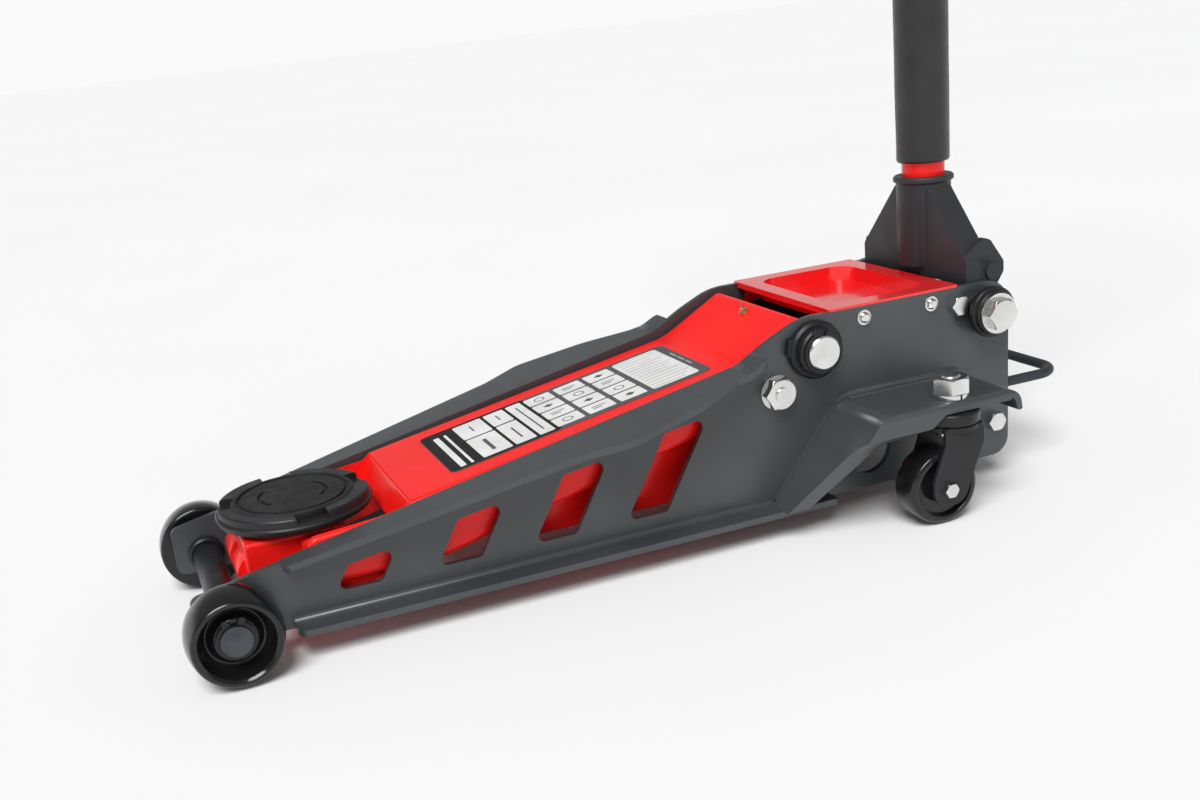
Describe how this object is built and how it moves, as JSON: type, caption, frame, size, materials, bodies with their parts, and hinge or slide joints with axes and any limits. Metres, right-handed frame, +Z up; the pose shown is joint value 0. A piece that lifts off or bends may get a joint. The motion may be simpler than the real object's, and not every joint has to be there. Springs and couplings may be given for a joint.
{
  "type": "trolley jack",
  "caption": "Low-profile hydraulic trolley jack: channel lift arm with a self-levelling saddle, flanged side plates, front rollers, swivel casters, tool tray and pump handle.",
  "frame": {"origin": "middle of the bounding box at floor level, on the centre plane between the side plates", "axes": "+X runs back from the saddle towards the handle, +Y to the right-hand side seen from behind, +Z up"},
  "size_m": [0.7713, 0.3034, 1.149],
  "materials": {
    "frame_paint": "satin grey paint over pressed steel",
    "arm_paint": "gloss red paint",
    "black_paint": "semi-gloss black paint",
    "roller_black": "gloss black enamel on cast steel",
    "zinc": "bright zinc-plated steel",
    "bare_steel": "ground steel with an oil film",
    "cylinder_steel": "honed tube, oiled outside",
    "cast_block": "black painted casting",
    "rubber": "moulded black rubber",
    "foam": "closed-cell black foam",
    "label": "plain printed plate with no wording",
    "spring_steel": "wound spring wire",
    "saddle_black": "black phosphate casting"
  },
  "bodies": {
    "frame": {"side_plate_near": "frame_paint", "side_plate_far": "frame_paint", "front_axle": "bare_steel", "axle_spacers": "zinc", "circlips": "bare_steel", "main_pivot_shaft": "zinc", "pivot_bosses": "black_paint", "frame_bolts": "zinc", "tray_screws": "zinc", "tool_tray": "arm_paint", "carry_handle": "black_paint", "caster_bracket_near": "frame_paint", "caster_bracket_far": "frame_paint", "caster_kingpins": "zinc", "caster_nuts": "zinc", "caster_lock_washers": "zinc", "caster_races": "black_paint", "handle_pivot_bolts": "zinc", "handle_pivot_spacers": "black_paint", "link_pivot_bolts": "zinc", "pump_block": "cast_block", "main_cylinder": "cylinder_steel", "cylinder_gland": "cylinder_steel", "reservoir_shell": "black_paint", "filler_plug": "rubber", "pump_springs": "spring_steel", "return_springs": "spring_steel"},
    "arm": {"lift_arm": "arm_paint", "arm_pivot_tube": "arm_paint", "grease_nipple": "zinc", "label_plate": "label", "ram_roller_pin": "bare_steel", "saddle_pin": "bare_steel"},
    "roller": {"ram_roller": "bare_steel"},
    "carrier": {"saddle_carrier": "arm_paint", "link_cross_pin": "bare_steel"},
    "saddle_cup": {"saddle": "saddle_black", "saddle_pad": "rubber"},
    "links": {"link_bar_near": "black_paint", "link_bar_far": "black_paint"},
    "ram_rod": {"ram": "cylinder_steel", "ram_head": "bare_steel"},
    "plungers": {"pump_plungers": "cylinder_steel"},
    "socket": {"handle_socket": "frame_paint", "pump_roller_pins": "bare_steel", "pump_rollers": "bare_steel"},
    "handle": {"handle_lower_tube": "arm_paint", "handle_upper_tube": "arm_paint", "foam_sleeve": "foam", "handle_grip": "rubber", "release_driver": "bare_steel"},
    "valve": {"release_stem": "bare_steel"},
    "fork_near": {"caster_fork_near": "black_paint", "caster_axle_near": "zinc"},
    "fork_far": {"caster_fork_far": "black_paint", "caster_axle_far": "zinc"},
    "caster_near": {"caster_wheel_near": "roller_black"},
    "caster_far": {"caster_wheel_far": "roller_black"},
    "wheel_near": {"front_wheel_near": "roller_black"},
    "wheel_far": {"front_wheel_far": "roller_black"}
  },
  "joints": [
    {"name": "arm_lift", "type": "hinge", "parent": "frame", "child": "arm", "pos_m": [0.13065, 0, 0.1475], "axis": [0, 1, 0], "range_deg": [0, 60], "deforming": ["return_springs"]},
    {"name": "roller_turn", "type": "hinge", "parent": "arm", "child": "roller", "pos_m": [0.16815, 0, 0.08255], "axis": [0, 1, 0], "continuous": true},
    {"name": "carrier_level", "type": "hinge", "parent": "arm", "child": "carrier", "pos_m": [-0.27035, 0, 0.06], "axis": [0, 1, 0], "range_deg": [-60, 0]},
    {"name": "saddle_turn", "type": "hinge", "parent": "carrier", "child": "saddle_cup", "pos_m": [-0.28285, 0, 0.08], "axis": [0, 0, 1], "continuous": true},
    {"name": "link_swing", "type": "hinge", "parent": "frame", "child": "links", "pos_m": [0.09465, 0, 0.119], "axis": [0, 1, 0], "range_deg": [0, 60]},
    {"name": "ram_slide", "type": "slide", "parent": "frame", "child": "ram_rod", "axis": [-1, 0, 0], "range_m": [0, 0.075]},
    {"name": "handle_pump", "type": "hinge", "parent": "frame", "child": "socket", "pos_m": [0.29365, 0, 0.151], "axis": [0, 1, 0], "range_deg": [0, 70], "stiffness_Nm_per_rad": 12, "springref_deg": -17.19, "deforming": ["pump_springs"]},
    {"name": "plunger_slide", "type": "slide", "parent": "frame", "child": "plungers", "axis": [-1, 0, 0], "range_m": [0, 0.01835]},
    {"name": "handle_twist", "type": "hinge", "parent": "socket", "child": "handle", "pos_m": [0.29365, 0, 0.2], "axis": [0, 0, 1], "range_deg": [0, 90]},
    {"name": "valve_turn", "type": "hinge", "parent": "frame", "child": "valve", "pos_m": [0.29365, 0, 0.12], "axis": [0, 0, 1], "range_deg": [0, 90]},
    {"name": "caster_swivel_near", "type": "hinge", "parent": "frame", "child": "fork_near", "pos_m": [0.22265, -0.129, 0.078], "axis": [0, 0, 1], "continuous": true},
    {"name": "caster_roll_near", "type": "hinge", "parent": "fork_near", "child": "caster_near", "pos_m": [0.20765, -0.129, 0.031], "axis": [0, 1, 0], "continuous": true},
    {"name": "wheel_roll_near", "type": "hinge", "parent": "frame", "child": "wheel_near", "pos_m": [-0.35045, -0.1, 0.0352], "axis": [0, 1, 0], "continuous": true},
    {"name": "caster_swivel_far", "type": "hinge", "parent": "frame", "child": "fork_far", "pos_m": [0.22265, 0.129, 0.078], "axis": [0, 0, 1], "continuous": true},
    {"name": "caster_roll_far", "type": "hinge", "parent": "fork_far", "child": "caster_far", "pos_m": [0.20765, 0.129, 0.031], "axis": [0, 1, 0], "continuous": true},
    {"name": "wheel_roll_far", "type": "hinge", "parent": "frame", "child": "wheel_far", "pos_m": [-0.35045, 0.1, 0.0352], "axis": [0, 1, 0], "continuous": true}
  ],
  "couplings": [
    {"joint": "carrier_level", "follows": "arm_lift", "ratio": -1},
    {"joint": "link_swing", "follows": "arm_lift", "ratio": 1},
    {"joint": "ram_slide", "follows": "arm_lift", "m_per_rad": 0.071619},
    {"joint": "plunger_slide", "follows": "handle_pump", "m_per_rad": 0.015022},
    {"joint": "valve_turn", "follows": "handle_twist", "ratio": 1}
  ]
}
